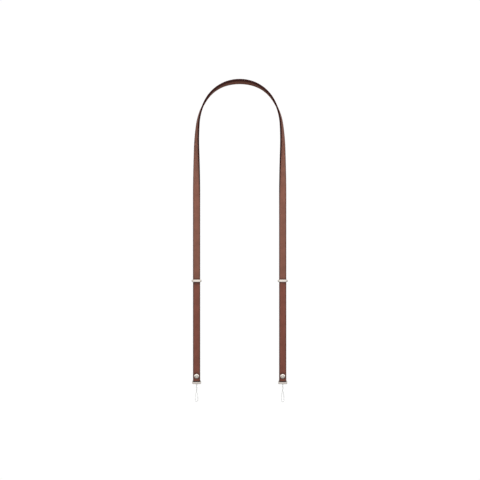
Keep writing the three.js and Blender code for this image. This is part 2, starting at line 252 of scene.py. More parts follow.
leather = bpy.data.materials.new("pigmented_cowhide")
leather.use_nodes = True
tree = leather.node_tree
tree.nodes.clear()
place = add_node(tree, "ShaderNodeTexCoord").outputs["Object"]
across = add_node(tree, "ShaderNodeAttribute", {"attribute_name": "across"}).outputs["Fac"]
through = add_node(tree, "ShaderNodeAttribute", {"attribute_name": "through"}).outputs["Fac"]
border = add_node(tree, "ShaderNodeMath", {"operation": "ABSOLUTE"}, {0: across}).outputs[0]
clouds = add_node(
    tree, "ShaderNodeTexNoise", inputs={"Vector": place, "Scale": 1 / CLOUD_SIZE, "Detail": 3}
).outputs[0]
cloudy = add_node(
    tree,
    "ShaderNodeMapRange",
    {"interpolation_type": "SMOOTHSTEP"},
    {"Value": clouds, "From Min": 0.35, "From Max": 0.65},
).outputs[0]
drift = add_node(
    tree, "ShaderNodeTexNoise", inputs={"Vector": place, "Scale": 1 / DRIFT_SIZE, "Detail": 1}
).outputs["Color"]
grain_place = add_node(
    tree,
    "ShaderNodeVectorMath",
    {"operation": "MULTIPLY_ADD"},
    {0: drift, 1: (GRAIN_DRIFT, GRAIN_DRIFT, GRAIN_DRIFT), 2: place},
).outputs[0]
pebbles = add_node(
    tree,
    "ShaderNodeTexVoronoi",
    {"feature": "DISTANCE_TO_EDGE"},
    {"Vector": grain_place, "Scale": 1 / GRAIN_SIZE},
).outputs["Distance"]
crease_depth = add_node(
    tree,
    "ShaderNodeMapRange",
    inputs={"Value": clouds, "From Min": 0.3, "From Max": 0.7, "To Min": 0.1, "To Max": 0.3},
).outputs[0]
# narrow creases between the pebbles for the colour, and wider ones for the relief
creased, hollowed = [
    add_node(
        tree,
        "ShaderNodeMath",
        {"operation": "MULTIPLY"},
        {
            0: add_node(
                tree,
                "ShaderNodeMapRange",
                {"interpolation_type": "SMOOTHSTEP"},
                {"Value": pebbles, "From Min": 0, "From Max": crease, "To Min": 1, "To Max": 0},
            ).outputs[0],
            1: crease_depth,
        },
    ).outputs[0]
    for crease in (0.14, 0.38)
]
pores = add_node(
    tree, "ShaderNodeTexNoise", inputs={"Vector": place, "Scale": 1 / PORE_SIZE, "Detail": 2}
).outputs[0]
face = add_node(
    tree,
    "ShaderNodeMix",
    {"data_type": "RGBA"},
    {"Factor": cloudy, 6: linear("#845444"), 7: linear("#7d4f3f")},
).outputs[2]
grained = add_node(
    tree,
    "ShaderNodeMix",
    {"data_type": "RGBA", "blend_type": "MULTIPLY"},
    {"Factor": creased, 6: face, 7: linear("#6b4336")},
).outputs[2]
# below the sliders the straps are slightly darker and redder
on_strap = add_node(tree, "ShaderNodeSeparateXYZ", inputs={0: place}).outputs
darker_below_mask = add_node(
    tree,
    "ShaderNodeMapRange",
    {"interpolation_type": "SMOOTHSTEP"},
    {"Value": on_strap["Z"], "From Min": DARKER_BELOW[0], "From Max": DARKER_BELOW[1]},
).outputs[0]
darker_below = add_node(
    tree,
    "ShaderNodeMix",
    {"data_type": "RGBA", "blend_type": "MULTIPLY"},
    {"Factor": darker_below_mask, 6: grained, 7: linear("#f7dcd8")},
).outputs[2]
# painted shade on the leather just above each slider, where the slider meets it
below_top = add_node(
    tree,
    "ShaderNodeMapRange",
    {"interpolation_type": "SMOOTHSTEP"},
    {"Value": on_strap["Z"], "From Min": SLIDER_SHADE_TOP[0], "From Max": SLIDER_SHADE_TOP[1]},
).outputs[0]
above_foot = add_node(
    tree,
    "ShaderNodeMapRange",
    {"interpolation_type": "SMOOTHSTEP"},
    {"Value": on_strap["Z"], "From Min": SLIDER_SHADE_FOOT[0], "From Max": SLIDER_SHADE_FOOT[1]},
).outputs[0]
slider_shade_mask = add_node(
    tree, "ShaderNodeMath", {"operation": "MULTIPLY"}, {0: below_top, 1: above_foot}
).outputs[0]
slider_shaded = add_node(
    tree,
    "ShaderNodeMix",
    {"data_type": "RGBA", "blend_type": "MULTIPLY"},
    {"Factor": slider_shade_mask, 6: darker_below, 7: linear("#d2c8c6")},
).outputs[2]
# painted shade in a ring round each rivet, set a little above it, alike on both legs
rivet_at = node_middle("right_rivet")
either_leg = add_node(tree, "ShaderNodeMath", {"operation": "ABSOLUTE"}, {0: on_strap["X"]}).outputs[0]
beside_rivet = add_node(
    tree, "ShaderNodeCombineXYZ", inputs={"X": either_leg, "Z": on_strap["Z"]}
).outputs[0]
from_rivet = add_node(
    tree,
    "ShaderNodeVectorMath",
    {"operation": "DISTANCE"},
    {0: beside_rivet, 1: (rivet_at.x, 0, rivet_at.z + RIVET_SHADE_RISE)},
).outputs["Value"]
rivet_shade_mask = add_node(
    tree,
    "ShaderNodeMapRange",
    {"interpolation_type": "SMOOTHSTEP"},
    {"Value": from_rivet, "From Min": RIVET_SHADE[0], "From Max": RIVET_SHADE[1]},
).outputs[0]
rivet_shaded = add_node(
    tree,
    "ShaderNodeMix",
    {"data_type": "RGBA", "blend_type": "MULTIPLY"},
    {"Factor": rivet_shade_mask, 6: slider_shaded, 7: linear("#c4b4b0")},
).outputs[2]
# painted shade on the fold, darkest where it curves under
fold_shade_mask = add_node(
    tree,
    "ShaderNodeMapRange",
    {"interpolation_type": "SMOOTHSTEP"},
    {"Value": on_strap["Z"], "From Min": FOLD_SHADE[0], "From Max": FOLD_SHADE[1]},
).outputs[0]
fold_shaded = add_node(
    tree,
    "ShaderNodeMix",
    {"data_type": "RGBA", "blend_type": "MULTIPLY"},
    {"Factor": fold_shade_mask, 6: rivet_shaded, 7: linear("#5c3e39")},
).outputs[2]
flesh = add_node(
    tree,
    "ShaderNodeMapRange",
    inputs={"Value": through, "From Min": FLESH[0], "From Max": FLESH[1]},
).outputs[0]
fibres = add_node(
    tree,
    "ShaderNodeTexNoise",
    inputs={"Vector": place, "Scale": 1 / FIBRE_SIZE, "Detail": 4, "Roughness": 0.65},
).outputs[0]
brushed = add_node(
    tree,
    "ShaderNodeMapRange",
    inputs={"Value": fibres, "From Min": 0.3, "From Max": 0.7},
).outputs[0]
nap = add_node(
    tree,
    "ShaderNodeMix",
    {"data_type": "RGBA"},
    {"Factor": brushed, 6: linear("#784839"), 7: linear("#a66955")},
).outputs[2]
# painted shade on the flesh side, darkening it towards the strap's front edge
front_edge_shade_mask = add_node(
    tree,
    "ShaderNodeMapRange",
    {"interpolation_type": "SMOOTHSTEP"},
    {"Value": across, "From Min": FRONT_EDGE_SHADE[0], "From Max": FRONT_EDGE_SHADE[1], "To Max": 0.9},
).outputs[0]
shaded_nap = add_node(
    tree, "ShaderNodeMix", {"data_type": "RGBA"}, {"Factor": front_edge_shade_mask, 6: nap, 7: linear("#41160f")}
).outputs[2]
napped = add_node(
    tree, "ShaderNodeMix", {"data_type": "RGBA"}, {"Factor": flesh, 6: fold_shaded, 7: shaded_nap}
).outputs[2]
# the borders darken along an uneven line
waver = add_node(
    tree, "ShaderNodeTexNoise", inputs={"Vector": place, "Scale": 1 / WAVER_SIZE, "Detail": 2}
).outputs[0]
uneven_border = add_node(
    tree,
    "ShaderNodeMath",
    {"operation": "MULTIPLY_ADD"},
    {0: waver, 1: BORDER_WAVER, 2: border},
).outputs[0]
darkening = add_node(
    tree,
    "ShaderNodeMapRange",
    {"interpolation_type": "SMOOTHSTEP"},
    {"Value": uneven_border, "From Min": BORDER[0], "From Max": BORDER[1], "To Max": 0.75},
).outputs[0]
colour = add_node(
    tree,
    "ShaderNodeMix",
    {"data_type": "RGBA"},
    {"Factor": darkening, 6: napped, 7: linear("#4f2c24")},
).outputs[2]
satin = add_node(
    tree,
    "ShaderNodeMapRange",
    inputs={"Value": pores, "From Min": 0.3, "From Max": 0.7, "To Min": 0.48, "To Max": 0.6},
).outputs[0]
roughness = add_node(
    tree, "ShaderNodeMix", {"data_type": "FLOAT"}, {"Factor": flesh, 2: satin, 3: 0.85}
).outputs[0]
pitted = add_node(
    tree, "ShaderNodeMath", {"operation": "MULTIPLY_ADD"}, {0: pores, 1: 0.25, 2: hollowed}
).outputs[0]
relief = add_node(
    tree, "ShaderNodeMix", {"data_type": "FLOAT"}, {"Factor": flesh, 2: pitted, 3: brushed}
).outputs[0]
bump = add_node(
    tree,
    "ShaderNodeBump",
    {"invert": True},
    {"Height": relief, "Strength": 0.7, "Distance": RELIEF},
).outputs[0]
hide = add_node(
    tree,
    "ShaderNodeBsdfPrincipled",
    inputs={
        "Base Color": colour,
        "Roughness": roughness,
        "IOR": 1.5,
        "Specular IOR Level": 0.4,
        "Normal": bump,
    },
)
add_node(tree, "ShaderNodeOutputMaterial", inputs={"Surface": hide.outputs[0]})

# Edge paint: a thick, dark red-brown acrylic rubbed on in coats, matt, with a slightly lumpy surface.
LUMP_SIZE = 0.8 * MM
LUMP_RELIEF = 0.05 * MM

edge_paint = bpy.data.materials.new("acrylic_edge_paint")
edge_paint.use_nodes = True
tree = edge_paint.node_tree
tree.nodes.clear()
place = add_node(tree, "ShaderNodeTexCoord").outputs["Object"]
lumps = add_node(
    tree, "ShaderNodeTexNoise", inputs={"Vector": place, "Scale": 1 / LUMP_SIZE, "Detail": 3}
).outputs[0]
coat_colour = add_node(
    tree,
    "ShaderNodeMix",
    {"data_type": "RGBA"},
    {"Factor": lumps, 6: linear("#280f0c"), 7: linear("#381814")},
).outputs[2]
coat_roughness = add_node(
    tree,
    "ShaderNodeMapRange",
    inputs={"Value": lumps, "From Min": 0.3, "From Max": 0.7, "To Min": 0.5, "To Max": 0.66},
).outputs[0]
coat_bump = add_node(
    tree, "ShaderNodeBump", inputs={"Height": lumps, "Strength": 0.3, "Distance": LUMP_RELIEF}
).outputs[0]
coat = add_node(
    tree,
    "ShaderNodeBsdfPrincipled",
    inputs={
        "Base Color": coat_colour,
        "Roughness": coat_roughness,
        "IOR": 1.45,
        "Specular IOR Level": 0.06,
        "Normal": coat_bump,
    },
)
add_node(tree, "ShaderNodeOutputMaterial", inputs={"Surface": coat.outputs[0]})

sweep, sizes, keys = sized_tree(
    "strap_sweep",
    {"Width": "NodeSocketFloat", "Thickness": "NodeSocketFloat", "Edge Radius": "NodeSocketFloat"},
)
middle = add_node(sweep, "GeometryNodeMeshToCurve", inputs={0: sizes.outputs["Geometry"]})
outward = add_node(
    sweep, "GeometryNodeInputNamedAttribute", {"data_type": "FLOAT_VECTOR"}, {"Name": "face_out"}
)
turned = add_node(
    sweep,
    "GeometryNodeSetCurveNormal",
    {"mode": "FREE"},
    {"Curve": middle.outputs[0], "Normal": outward.outputs["Attribute"]},
)
section = add_node(
    sweep,
    "GeometryNodeCurvePrimitiveQuadrilateral",
    inputs={"Width": sizes.outputs["Thickness"], "Height": sizes.outputs["Width"]},
)
rounded = add_node(
    sweep,
    "GeometryNodeFilletCurve",
    {"mode": "POLY"},
    {"Curve": section.outputs[0], "Radius": sizes.outputs["Edge Radius"], "Count": EDGE_FACETS},
)
divided = add_node(
    sweep, "GeometryNodeSubdivideCurve", inputs={"Curve": rounded.outputs[0], "Cuts": FACE_CUTS}
)
# the section keeps its two directions as attributes, which the leather's pattern follows
in_section = add_node(
    sweep,
    "ShaderNodeSeparateXYZ",
    inputs={0: add_node(sweep, "GeometryNodeInputPosition").outputs[0]},
)
marked = divided.outputs[0]
for name, axis in (("through", "X"), ("across", "Y")):
    marked = add_node(
        sweep,
        "GeometryNodeStoreNamedAttribute",
        {"data_type": "FLOAT", "domain": "POINT"},
        {"Geometry": marked, "Name": name, "Value": in_section.outputs[axis]},
    ).outputs[0]
strip = add_node(
    sweep,
    "GeometryNodeCurveToMesh",
    inputs={"Curve": turned.outputs[0], "Profile Curve": marked, "Fill Caps": True},
)
half_width = add_node(
    sweep, "ShaderNodeMath", {"operation": "MULTIPLY"}, {0: sizes.outputs["Width"], 1: 0.5}
).outputs[0]
flat_half = add_node(
    sweep, "ShaderNodeMath", {"operation": "SUBTRACT"}, {0: half_width, 1: sizes.outputs["Edge Radius"]}
).outputs[0]
off_middle = add_node(
    sweep,
    "ShaderNodeMath",
    {"operation": "ABSOLUTE"},
    {
        0: add_node(
            sweep, "GeometryNodeInputNamedAttribute", {"data_type": "FLOAT"}, {"Name": "across"}
        ).outputs["Attribute"]
    },
).outputs[0]
on_edge = add_node(
    sweep, "FunctionNodeCompare", {"operation": "GREATER_THAN"}, {0: off_middle, 1: flat_half}
).outputs[0]
close_tree(sweep, strip.outputs[0], (leather, True), (edge_paint, on_edge))

# name, layer and the CAD's stretches of each strap
STRAPS = [
    ("outer", 1, ["arch", "left_leg", "right_leg", "right_lower_leg", "right_end"]),
    ("inner", -1, ["arch", "left_leg", "right_leg", "left_lower_leg", "left_end"]),
]
for which, layer, stretches in STRAPS:
    right = half_strap(layer, carrying=layer > 0)
    left = [
        (Vector((-point.x, point.y, point.z)), Vector((-out.x, out.y, out.z)))
        for point, out in half_strap(layer, carrying=layer < 0)
    ]
    course = left[::-1] + right[1:]
    mesh = bpy.data.meshes.new(f"{which}_line")
    mesh.from_pydata([point for point, out in course], [(i, i + 1) for i in range(len(course) - 1)], [])
    facing = mesh.attributes.new("face_out", "FLOAT_VECTOR", "POINT")
    facing.data.foreach_set("vector", [c for point, out in course for c in out])
    strap = made_by(
        sweep,
        keys,
        {"Width": STRAP_WIDTH, "Thickness": LEATHER, "Edge Radius": EDGE_RADIUS},
        f"{which}_leather_strap",
        mesh,
    )
    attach(strap, "strap")
    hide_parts(*[f"{which}_strap_{stretch}" for stretch in stretches])

# Sliders.
# A flattened band of cast zinc alloy round both straps, nickel plated and polished, one on each leg. Its
# two ends are round, and the outer face is slightly crowned.
SLIDER_WIDTH = 17 * MM
SLIDER_HEIGHT = 4.2 * MM
SLIDER_DEPTH = 6.1 * MM
SLIDER_WALL = 1.4 * MM
SLIDER_CORNER = 1.5 * MM  # radius of its four corners, seen from the front
SLIDER_RIM = 0.5 * MM  # radius of the rim round each opening
SLIDER_CROWN = 0.14 * MM
CROWN_STEPS = 8
RIM_STEPS = 6
INSIDE_STEPS = 4


def nickel_plate(name, bright, dull, smoothest, roughest):
    """Nickel plate of two tints, with a buffing haze, and rougher in the finest scratches."""
    haze_size = 3 * MM
    scratch_length = 1.2 * MM
    scratch_slimness = 14  # its length to its width
    plated = bpy.data.materials.new(name)
    plated.use_nodes = True
    tree = plated.node_tree
    tree.nodes.clear()
    place = add_node(tree, "ShaderNodeTexCoord").outputs["Object"]
    haze = add_node(
        tree, "ShaderNodeTexNoise", inputs={"Vector": place, "Scale": 1 / haze_size, "Detail": 4}
    ).outputs[0]
    level = add_node(
        tree, "ShaderNodeMapping", inputs={"Vector": place, "Scale": (1, 1, scratch_slimness)}
    ).outputs[0]
    scratches = add_node(
        tree, "ShaderNodeTexNoise", inputs={"Vector": level, "Scale": 1 / scratch_length, "Detail": 3}
    ).outputs[0]
    tint = add_node(
        tree,
        "ShaderNodeMix",
        {"data_type": "RGBA"},
        {"Factor": haze, 6: linear(bright), 7: linear(dull)},
    ).outputs[2]
    gloss = add_node(
        tree,
        "ShaderNodeMapRange",
        inputs={
            "Value": scratches,
            "From Min": 0.3,
            "From Max": 0.7,
            "To Min": smoothest,
            "To Max": roughest,
        },
    ).outputs[0]
    buffed = add_node(
        tree, "ShaderNodeBump", inputs={"Height": scratches, "Strength": 0.04, "Distance": 0.02 * MM}
    ).outputs[0]
    plate = add_node(
        tree,
        "ShaderNodeBsdfPrincipled",
        inputs={"Base Color": tint, "Metallic": 1, "Roughness": gloss, "Normal": buffed},
    )
    add_node(tree, "ShaderNodeOutputMaterial", inputs={"Surface": plate.outputs[0]})
    return plated


# Polished nickel plate: a warm grey mirror, very slightly hazed by the buffing wheel.
polished_nickel = nickel_plate("polished_nickel_plate", "#eae2d9", "#ded6cd", 0.14, 0.24)


def new_mesh(name, points, faces):
    """A smooth mesh from points and faces, its normals made to point outwards."""
    mesh = bpy.data.meshes.new(name)
    mesh.from_pydata(points, [], faces)
    shape = bmesh.new()
    shape.from_mesh(mesh)
    bmesh.ops.remove_doubles(shape, verts=shape.verts, dist=1e-7)
    bmesh.ops.recalc_face_normals(shape, faces=shape.faces)
    shape.to_mesh(mesh)
    shape.free()
    mesh.shade_smooth()
    return mesh


def ring_faces(rings, sides, closed):
    """Quads between rings of points, each ring closed, and the rings in a loop too where closed."""
    faces = []
    for r in range(rings if closed else rings - 1):
        for s in range(sides):
            near, far = r * sides, (r + 1) % rings * sides
            faces.append((near + s, near + (s + 1) % sides, far + (s + 1) % sides, far + s))
    return faces


def stadium(half_length, radius, end_steps, side_steps=12):
    """Points and outward directions round a level stadium that is 2 radius deep."""
    stops = []
    for end in (1, -1):
        for k in range(end_steps + 1):
            turn = math.pi * (k / end_steps - 0.5) + (0 if end > 0 else math.pi)
            away = Vector((math.cos(turn), math.sin(turn), 0))
            stops.append((Vector((end * half_length, 0, 0)) + away * radius, away))
        for k in range(1, side_steps):
            x = end * half_length * (1 - 2 * k / side_steps)
            stops.append((Vector((x, end * radius, 0)), Vector((0, end, 0))))
    return stops


# the wall's section as (out, up) from the inside: the crowned outer face, then the rims and the inside
inner_half = SLIDER_DEPTH / 2 - SLIDER_WALL
half_height = SLIDER_HEIGHT / 2
rim_up = half_height - SLIDER_RIM
rim_out = SLIDER_WALL - SLIDER_CROWN * (rim_up / half_height) ** 2 - SLIDER_RIM
wall = []
for k in range(CROWN_STEPS + 1):
    up = rim_up * (2 * k / CROWN_STEPS - 1)
    wall.append((SLIDER_WALL - SLIDER_CROWN * (up / half_height) ** 2, up))
for corner_out, corner_up, first in (
    (rim_out, rim_up, 0),
    (SLIDER_RIM, rim_up, 90),
    (SLIDER_RIM, -rim_up, 180),
    (rim_out, -rim_up, 270),
):
    for k in range(1, RIM_STEPS):
        turn = math.radians(first + 90 * k / RIM_STEPS)
        wall.append((corner_out + SLIDER_RIM * math.cos(turn), corner_up + SLIDER_RIM * math.sin(turn)))
    if first == 90:
        for k in range(INSIDE_STEPS + 1):
            wall.append((0, rim_up * (1 - 2 * k / INSIDE_STEPS)))
points = []
band = stadium(SLIDER_WIDTH / 2 - SLIDER_DEPTH / 2, inner_half, end_steps=16)
for at, away in band:
    for out, up in wall:
        spot = at + away * out
        past = max(0, abs(spot.x) - (SLIDER_WIDTH / 2 - SLIDER_CORNER))
        lowered = half_height - SLIDER_CORNER + math.sqrt(max(0, SLIDER_CORNER**2 - past**2))
        points.append((spot.x, spot.y, up * lowered / half_height))
slider_mesh = new_mesh("slider_band", points, ring_faces(len(band), len(wall), True))

pair, ends, pair_keys = sized_tree(
    "pair_on_the_legs", {"Left Place": "NodeSocketVector", "Right Place": "NodeSocketVector"}
)
legs = add_node(
    pair,
    "GeometryNodeMeshLine",
    {"mode": "END_POINTS"},
    {"Count": 2, "Start Location": ends.outputs["Left Place"], "Offset": ends.outputs["Right Place"]},
)
both = add_node(
    pair,
    "GeometryNodeInstanceOnPoints",
    inputs={"Points": legs.outputs[0], "Instance": ends.outputs["Geometry"]},
)
close_tree(pair, both.outputs[0], (polished_nickel, True))

sliders = made_by(
    pair,
    pair_keys,
    {"Left Place": node_middle("left_slider"), "Right Place": node_middle("right_slider")},
    "sliders",
    slider_mesh,
)
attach(sliders, "strap")
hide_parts("left_slider", "right_slider")

# End loops.
# A die-cast nickel loop in each folded end. Its thin upper bar lies in the fold, so that the loop can
# swing, and the thick lower bar has a socket in its underside for the cord.
LOOP_WIDTH = 15.4 * MM
WIRE = 1.2 * MM
WIRE_SIDES = 20
BEND_RADIUS = 1.8 * MM
BEND_STEPS = 10
ARM_SUNK = 1.1 * MM  # into the lower bar
BAR_TOP = 2.2 * MM  # below the axis of the upper bar
BAR_HEIGHT = 3.7 * MM
BAR_DEPTH = 2.6 * MM
BAR_ROUND = 0.8 * MM
BAR_ROUND_STEPS = 6
# how far in from the outline, and how far the bar's face stands out there
BAR_CROWN = [(1.55 * MM, 0.03 * MM), (1.2 * MM, 0.02 * MM)]
SOCKET_HALF_WIDTH = 1.45 * MM
SOCKET_RADIUS = 0.8 * MM
SOCKET_DEPTH = 2.2 * MM
SHARP_EDGE = math.radians(40)
HINGES = {joint["name"]: Vector(joint["pos_m"]) for joint in frame["joints"]}

# Satin nickel plate: the same metal tumbled and not buffed, so it gives only soft, greyer reflections.
satin_nickel = nickel_plate("satin_nickel_plate", "#e7dfd7", "#d9d2cb", 0.3, 0.4)

wire_sweep, wire_sizes, wire_keys = sized_tree(
    "wire_bail", {"Radius": "NodeSocketFloat", "Bend Radius": "NodeSocketFloat"}
)
bent_wire = add_node(
    wire_sweep,
    "GeometryNodeFilletCurve",
    {"mode": "POLY"},
    {
        "Curve": add_node(
            wire_sweep, "GeometryNodeMeshToCurve", inputs={0: wire_sizes.outputs["Geometry"]}
        ).outputs[0],
        "Radius": wire_sizes.outputs["Bend Radius"],
        "Count": BEND_STEPS,
    },
)
round_wire = add_node(
    wire_sweep,
    "GeometryNodeCurvePrimitiveCircle",
    inputs={"Resolution": WIRE_SIDES, "Radius": wire_sizes.outputs["Radius"]},
)
bail_tube = add_node(
    wire_sweep,
    "GeometryNodeCurveToMesh",
    inputs={"Curve": bent_wire.outputs[0], "Profile Curve": round_wire.outputs[0], "Fill Caps": True},
)
close_tree(wire_sweep, bail_tube.outputs[0], (satin_nickel, True))


def bar_outline(inset, y):
    """Points of the lower bar's front outline, drawn in by inset, at a depth."""
    radius = BAR_HEIGHT / 2 - inset
    middle_z = -BAR_TOP - BAR_HEIGHT / 2
    half = LOOP_WIDTH / 2 - BAR_HEIGHT / 2
    return [(p.x, y, middle_z + p.y) for p, away in stadium(half, radius, end_steps=14)]


# outlines from the crowned front over its rounded rim, and the same ones in turn to the back
front = [(inset, -BAR_DEPTH / 2 - proud) for inset, proud in BAR_CROWN]
for k in range(BAR_ROUND_STEPS + 1):
    turn = math.radians(90 * k / BAR_ROUND_STEPS)
    front.append((BAR_ROUND * (1 - math.sin(turn)), -BAR_DEPTH / 2 + BAR_ROUND * (1 - math.cos(turn))))
outlines = [bar_outline(inset, y) for inset, y in front]
outlines += [bar_outline(inset, -y) for inset, y in reversed(front)]
sides = len(outlines[0])
bar_points = [p for outline in outlines for p in outline]
bar_faces = ring_faces(len(outlines), sides, False)
bar_faces += [tuple(range(sides)), tuple(range(len(bar_points) - sides, len(bar_points)))]

socket_points = []
socket_outline = stadium(SOCKET_HALF_WIDTH - SOCKET_RADIUS, SOCKET_RADIUS, end_steps=12)
for z in (-BAR_TOP - BAR_HEIGHT + SOCKET_DEPTH, -BAR_TOP - BAR_HEIGHT - SOCKET_DEPTH):
    socket_points += [(p.x, p.y, z) for p, away in socket_outline]
socket_sides = len(socket_outline)
socket_faces = ring_faces(2, socket_sides, False)
socket_faces += [tuple(range(socket_sides)), tuple(range(socket_sides, 2 * socket_sides))]

for side in ("left", "right"):
    hinge = HINGES[f"{side}_end_swing"]
    arm = LOOP_WIDTH / 2 - WIRE / 2
    arm_end = -BAR_TOP - ARM_SUNK
    corners = [(-arm, 0, arm_end), (-arm, 0, 0), (arm, 0, 0), (arm, 0, arm_end)]
    bail_line = bpy.data.meshes.new(f"{side}_bail_line")
    bail_line.from_pydata(corners, [(0, 1), (1, 2), (2, 3)], [])
    bail = made_by(
        wire_sweep,
        wire_keys,
        {"Radius": WIRE / 2, "Bend Radius": BEND_RADIUS},
        f"{side}_loop_bail",
        bail_line,
    )
    bar = bpy.data.objects.new(f"{side}_loop_bar", new_mesh(f"{side}_loop_bar", bar_points, bar_faces))
    cutter = bpy.data.objects.new(
        f"{side}_socket", new_mesh(f"{side}_socket", socket_points, socket_faces)
    )
    bpy.context.scene.collection.objects.link(bar)
    bpy.context.scene.collection.objects.link(cutter)
    cut = bar.modifiers.new("socket", "BOOLEAN")
    cut.operation = "DIFFERENCE"
    cut.object = cutter
    depsgraph = bpy.context.evaluated_depsgraph_get()
    bored = bpy.data.meshes.new_from_object(bar.evaluated_get(depsgraph))
    bar.modifiers.clear()
    bpy.data.objects.remove(cutter)
    shape = bmesh.new()
    shape.from_mesh(bored)
    shape.from_mesh(bail.data)
    bmesh.ops.translate(shape, verts=shape.verts, vec=hinge)
    for edge in shape.edges:
        edge.smooth = edge.calc_face_angle(0) < SHARP_EDGE
    shape.to_mesh(bored)
    shape.free()
    bored.materials.clear()
    bored.materials.append(satin_nickel)
    bored.shade_smooth()
    bar.data = bored
    bpy.data.objects.remove(bail)
    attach(bar, f"{side}_end")
    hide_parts(f"{side}_end_loop")

# Rivets.
# A two-part capped rivet through each folded end, pressed from brass sheet and nickel plated. The domed
# cap is at the front with its rim rolled under, and a flat washer closes it at the back.
CAP_RADIUS = 4.2 * MM
CAP_RISE = 1.7 * MM
CAP_RIM = 0.5 * MM
DOME_INSET = 0.2 * MM  # where the dome ends and the rim begins
DOME_STEPS = 16
ROLL_RADIUS = 0.25 * MM  # of the rim's rolled edge
ROLL_LEAN = 0.2  # radians by which its widest place is above its foot
ROLL_FOOT = 0.1 * MM
ROLL_STEPS = 5
TUCKED_UNDER = 0.02 * MM
SHANK_RADIUS = 1.5 * MM
LAP = 3 * MM  # through the strap and its folded tail
SEAT = 0.3 * MM
BACK_RADIUS = 3.6 * MM
BACK_THICKNESS = 0.9 * MM
BACK_CHAMFER = (0.1 * MM, 0.15 * MM)  # in and up, where the washer meets the leather
BACK_ROUND = 0.5 * MM
HOLLOW_RADIUS = 1.9 * MM
HOLLOW_FLOOR = 1.5 * MM
HOLLOW_DEPTH = 0.25 * MM
RIVET_SIDES = 48

# half the rivet's section as (radius, y), from the cap's crown to the hollow in the washer
crown_y = -CAP_RISE - CAP_RIM - SEAT
back_y = LAP + BACK_THICKNESS
dome_radius = (CAP_RADIUS**2 + CAP_RISE**2) / (2 * CAP_RISE)
dome_turn = math.asin((CAP_RADIUS - DOME_INSET) / dome_radius)
profile = []
for k in range(1, DOME_STEPS + 1):
    turn = dome_turn * k / DOME_STEPS
    profile.append((dome_radius * math.sin(turn), dome_radius * (1 - math.cos(turn)) + crown_y))
rim_y = profile[-1][1]
for k in range(1, ROLL_STEPS + 1):
    turn = math.radians(90 * k / ROLL_STEPS) + ROLL_LEAN
    roll_y = rim_y + (-SEAT - ROLL_FOOT - rim_y) * k / ROLL_STEPS
    profile.append((CAP_RADIUS - ROLL_RADIUS + ROLL_RADIUS * math.sin(turn), roll_y))
profile += [(CAP_RADIUS - ROLL_RADIUS, -SEAT + TUCKED_UNDER), (SHANK_RADIUS, -SEAT), (SHANK_RADIUS, LAP)]
profile += [(BACK_RADIUS - BACK_CHAMFER[0], LAP), (BACK_RADIUS, LAP + BACK_CHAMFER[1])]
for k in range(1, ROLL_STEPS + 1):
    turn = math.radians(90 * k / ROLL_STEPS)
    round_y = back_y - BACK_ROUND + BACK_ROUND * math.sin(turn)
    profile.append((BACK_RADIUS - BACK_ROUND * (1 - math.cos(turn)), round_y))
profile += [(HOLLOW_RADIUS, back_y), (HOLLOW_FLOOR, back_y - HOLLOW_DEPTH)]
points = []
for radius, y in profile:
    for s in range(RIVET_SIDES):
        turn = 2 * math.pi * s / RIVET_SIDES
        points.append((radius * math.cos(turn), y, radius * math.sin(turn)))
faces = ring_faces(len(profile), RIVET_SIDES, False)
first_ring = range(RIVET_SIDES)
last_ring = range(len(points) - RIVET_SIDES, len(points))
points += [(0, crown_y, 0), (0, back_y - HOLLOW_DEPTH, 0)]
for ring, pole in ((first_ring, len(points) - 2), (last_ring, len(points) - 1)):
    faces += [(ring[s], ring[(s + 1) % RIVET_SIDES], pole) for s in range(RIVET_SIDES)]
rivet_mesh = new_mesh("rivet", points, faces)
places = {}
for side in ("left", "right"):
    low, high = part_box(f"{side}_rivet")
    front_face = low.y + CAP_RISE + CAP_RIM + SEAT
    places[f"{side.title()} Place"] = Vector(((low.x + high.x) / 2, front_face, (low.z + high.z) / 2))
rivets = made_by(pair, pair_keys, places, "rivets", rivet_mesh)
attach(rivets, "strap")
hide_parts("left_rivet", "right_rivet")

# Cord loops.
# One length of 1 mm white braided polyester cord on each end loop. Both its ends are set in the socket of
# the lower bar, the two strands are twisted together once, and below that they open into the loop that
# takes the phone.
CORD_DIAMETER = 1 * MM
CORD_SIDES = 32
BRAID_PITCH = 1.5 * MM
BRAID_STRANDS = 8
YARN_BED = 0.87  # of the cord's radius, in the hollows between the yarns
YARN_RISE = 0.16  # of the radius, from there to the top of a yarn
YARN_DIP = 0.35  # of a yarn's height, where it comes out from under another
# the route, in mm: its drops below the bar and its distances from the loop's middle line
CORD_IN_SOCKET = 1.8
STRAND_OFFSET = 0.65
TWIST_LENGTH = 13
TWIST_POINTS = 8
OPEN_LOOP = [(15.5, 1.15), (18.5, 1.75), (22, 2), (25.5, 2.05), (27.8, 2), (29.2, 1.4)]
LOOP_END = 29.8
SPAN_POINTS = 20

# Braided polyester: matt white yarns that cross each other, with painted shade making the hollows between
# them greyer.
FILAMENT = 0.2 * MM  # several times its real size, so that it shows close up
FUZZ = 0.03 * MM

cord_white = bpy.data.materials.new("braided_polyester")
cord_white.use_nodes = True
tree = cord_white.node_tree
tree.nodes.clear()
place = add_node(tree, "ShaderNodeTexCoord").outputs["Object"]
weave = add_node(tree, "ShaderNodeAttribute", {"attribute_name": "weave"}).outputs["Fac"]
fibre = add_node(
    tree, "ShaderNodeTexNoise", inputs={"Vector": place, "Scale": 1 / FILAMENT, "Detail": 2}
).outputs[0]
on_yarn = add_node(
    tree,
    "ShaderNodeMapRange",
    {"interpolation_type": "SMOOTHSTEP"},
    {"Value": weave, "From Min": 0.05, "From Max": 0.45},
).outputs[0]
